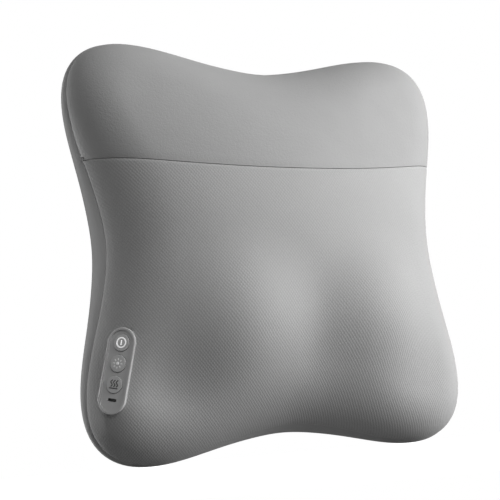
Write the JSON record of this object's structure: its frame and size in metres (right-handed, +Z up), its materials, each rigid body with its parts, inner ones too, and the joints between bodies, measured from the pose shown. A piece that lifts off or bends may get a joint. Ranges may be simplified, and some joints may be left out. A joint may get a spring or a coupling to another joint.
{
  "type": "shiatsu neck massage cushion",
  "caption": "Four-lobed padded cushion that stands or leans against a seat back, with geared rotating massage heads under a mesh front and a button pod low on one side.",
  "frame": {"origin": "centre of the cushion's width and depth, at the lowest point of its lower lobes", "axes": "+Z up as the cushion stands, front facing -Y, +X to the right of someone looking at the front"},
  "size_m": [0.3682, 0.12, 0.3683],
  "materials": {
    "suede": "fine matte grain",
    "mesh_fabric": "fine woven mesh",
    "band_fabric": "plain weave",
    "foam": "open-cell foam",
    "heater": "carbon heating film on felt",
    "black_plastic": "moulded",
    "gear_plastic": "acetal",
    "node_rubber": "smooth",
    "steel": "machined",
    "motor_steel": "zinc plated",
    "magnet": "sintered",
    "copper": "turned",
    "cell_wrap": "shrink wrap",
    "board_green": "solder mask",
    "pod_plastic": "satin",
    "button_plastic": "satin",
    "wire": "sleeved"
  },
  "bodies": {
    "cushion": {"back_cover": "band_fabric", "battery_cells": "cell_wrap", "battery_tray": "black_plastic", "board_chips": "black_plastic", "board_connectors": "black_plastic", "board_screws": "steel", "button_board": "board_green", "charging_socket": "steel", "control_harness": "wire", "foam_body": "foam", "front_bearings": "steel", "front_shell": "black_plastic", "heater_pads": "heater", "main_board": "board_green", "mesh_cover": "mesh_fabric", "motor_bracket": "black_plastic", "motor_brushes": "magnet", "motor_can": "motor_steel", "motor_end_cap": "black_plastic", "motor_leads": "wire", "motor_magnets": "magnet", "motor_screws": "steel", "pod_plate": "pod_plastic", "pod_rim": "pod_plastic", "pod_screws": "steel", "pod_tub": "black_plastic", "rear_bearings": "steel", "rear_shell": "black_plastic", "shell_screws": "steel", "side_band": "band_fabric", "tact_switches": "black_plastic", "upper_cover": "suede", "worm_bush": "copper"},
    "left_head": {"left_wheel": "gear_plastic", "left_shaft": "steel", "left_carrier": "gear_plastic", "left_massage_nodes": "node_rubber", "left_node_screws": "steel", "left_hub_screw": "steel"},
    "right_head": {"right_wheel": "gear_plastic", "right_shaft": "steel", "right_carrier": "gear_plastic", "right_massage_nodes": "node_rubber", "right_node_screws": "steel", "right_hub_screw": "steel"},
    "motor_rotor": {"motor_shaft": "steel", "worm": "steel", "motor_armature": "motor_steel", "motor_commutator": "copper"},
    "power_key": {"power_button": "button_plastic"},
    "mode_key": {"mode_button": "button_plastic"},
    "heat_key": {"heat_button": "button_plastic"}
  },
  "joints": [
    {"name": "left_head_spin", "type": "hinge", "parent": "cushion", "child": "left_head", "pos_m": [-0.06, 0.0136, 0.12403], "axis": [0, 1, 0], "continuous": true},
    {"name": "right_head_spin", "type": "hinge", "parent": "cushion", "child": "right_head", "pos_m": [0.06, 0.0136, 0.12403], "axis": [0, 1, 0], "continuous": true},
    {"name": "motor_spin", "type": "hinge", "parent": "cushion", "child": "motor_rotor", "pos_m": [0, 0.0136, 0.12403], "axis": [0, 0, 1], "continuous": true},
    {"name": "power_press", "type": "slide", "parent": "cushion", "child": "power_key", "axis": [0.735, 0.672, -0.09], "range_m": [0, 0.0007], "stiffness_N_per_m": 900, "springref_m": -0.0003},
    {"name": "mode_press", "type": "slide", "parent": "cushion", "child": "mode_key", "axis": [0.735, 0.672, -0.09], "range_m": [0, 0.0007], "stiffness_N_per_m": 900, "springref_m": -0.0003},
    {"name": "heat_press", "type": "slide", "parent": "cushion", "child": "heat_key", "axis": [0.735, 0.672, -0.09], "range_m": [0, 0.0007], "stiffness_N_per_m": 900, "springref_m": -0.0003}
  ],
  "couplings": [
    {"joint": "right_head_spin", "follows": "left_head_spin", "ratio": -1},
    {"joint": "motor_spin", "follows": "left_head_spin", "ratio": 70}
  ]
}
